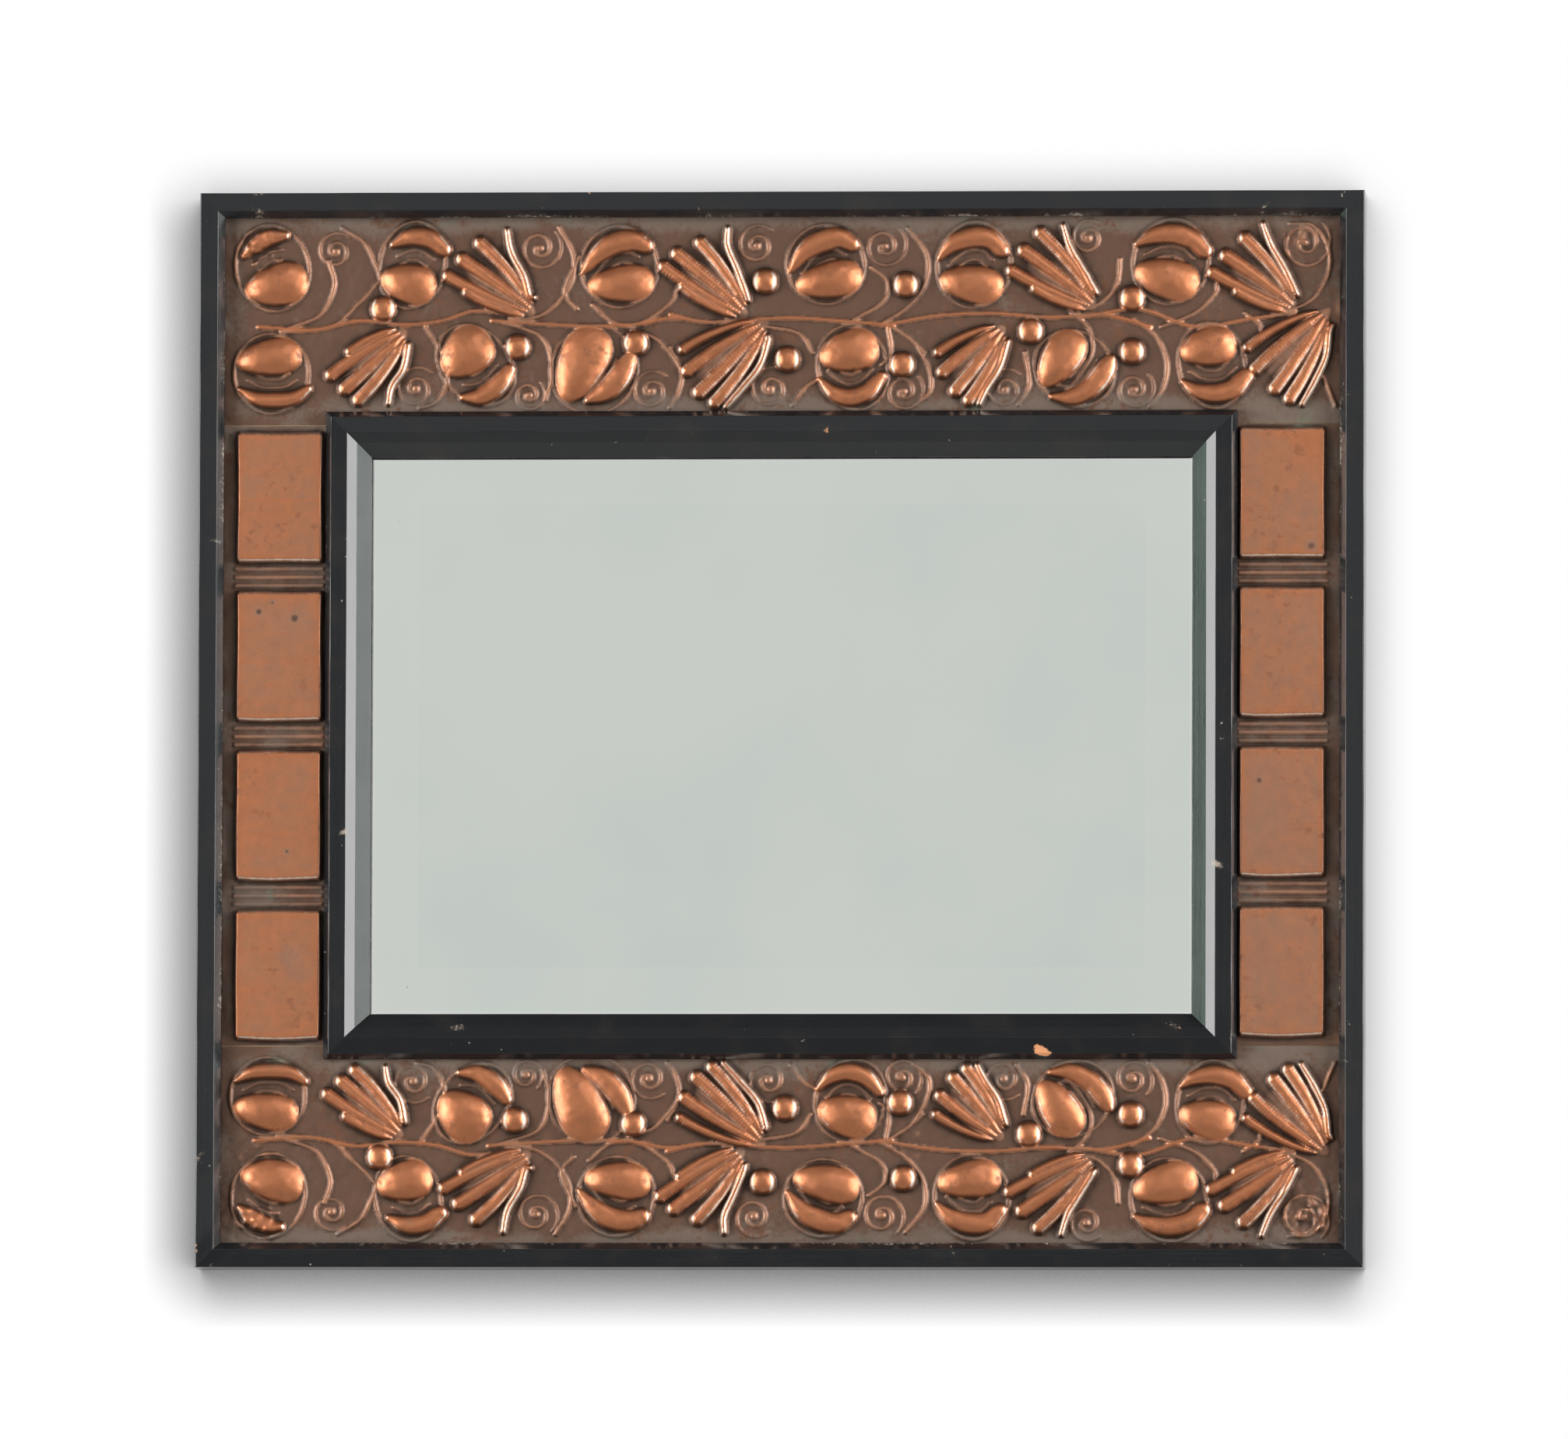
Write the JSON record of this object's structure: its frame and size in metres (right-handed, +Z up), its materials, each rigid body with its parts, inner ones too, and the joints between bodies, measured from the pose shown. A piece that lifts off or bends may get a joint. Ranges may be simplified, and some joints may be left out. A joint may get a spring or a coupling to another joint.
{
  "type": "wall mirror",
  "caption": "Wall mirror in an embossed copper frame between black mouldings, with a bevelled plate, a raw wood back and hanging rings.",
  "frame": {"origin": "centre of the outline on the wall plane, which the back edges of the outer mouldings touch", "axes": "+Z up, +X to the right seen from the front, the glass faces -Y, +Y into the wall"},
  "size_m": [0.52, 0.027, 0.48],
  "materials": {
    "ebonised_wood": "black stain under worn gloss polish",
    "patinated_copper": "embossed copper with brown patina, bright on the high forms",
    "mirror_glass": "silvered, bevelled",
    "carcase_pine": "raw, aged",
    "dowel_beech": "raw",
    "block_pine": "raw",
    "back_board_wood": "raw, darkened with age",
    "steel_fasteners": "dull",
    "hanger_brass": "tarnished"
  },
  "bodies": {
    "frame": {"outer_rail_top": "ebonised_wood", "inner_rail_top": "ebonised_wood", "copper_panel_top": "patinated_copper", "outer_rail_bottom": "ebonised_wood", "inner_rail_bottom": "ebonised_wood", "copper_panel_bottom": "patinated_copper", "outer_rail_left": "ebonised_wood", "inner_rail_left": "ebonised_wood", "copper_panel_left": "patinated_copper", "outer_rail_right": "ebonised_wood", "inner_rail_right": "ebonised_wood", "copper_panel_right": "patinated_copper", "mirror_plate": "mirror_glass", "carcase_board_top": "carcase_pine", "carcase_board_bottom": "carcase_pine", "carcase_stile_left": "carcase_pine", "carcase_stile_right": "carcase_pine", "carcase_dowels": "dowel_beech", "glass_blocks": "block_pine", "back_board": "back_board_wood", "outer_rail_pins": "steel_fasteners", "inner_rail_screws": "steel_fasteners", "back_board_screws": "steel_fasteners", "hanger_plate_left": "hanger_brass", "hanger_screws_left": "hanger_brass", "hanger_plate_right": "hanger_brass", "hanger_screws_right": "hanger_brass"},
    "ring_left": {"hanger_ring_left": "hanger_brass"},
    "ring_right": {"hanger_ring_right": "hanger_brass"}
  },
  "joints": [
    {"name": "ring_left_swing", "type": "hinge", "parent": "frame", "child": "ring_left", "pos_m": [-0.15, -0.0045, 0.192], "axis": [1, 0, 0], "range_deg": [0, 180]},
    {"name": "ring_right_swing", "type": "hinge", "parent": "frame", "child": "ring_right", "pos_m": [0.15, -0.0045, 0.192], "axis": [1, 0, 0], "range_deg": [0, 180]}
  ]
}
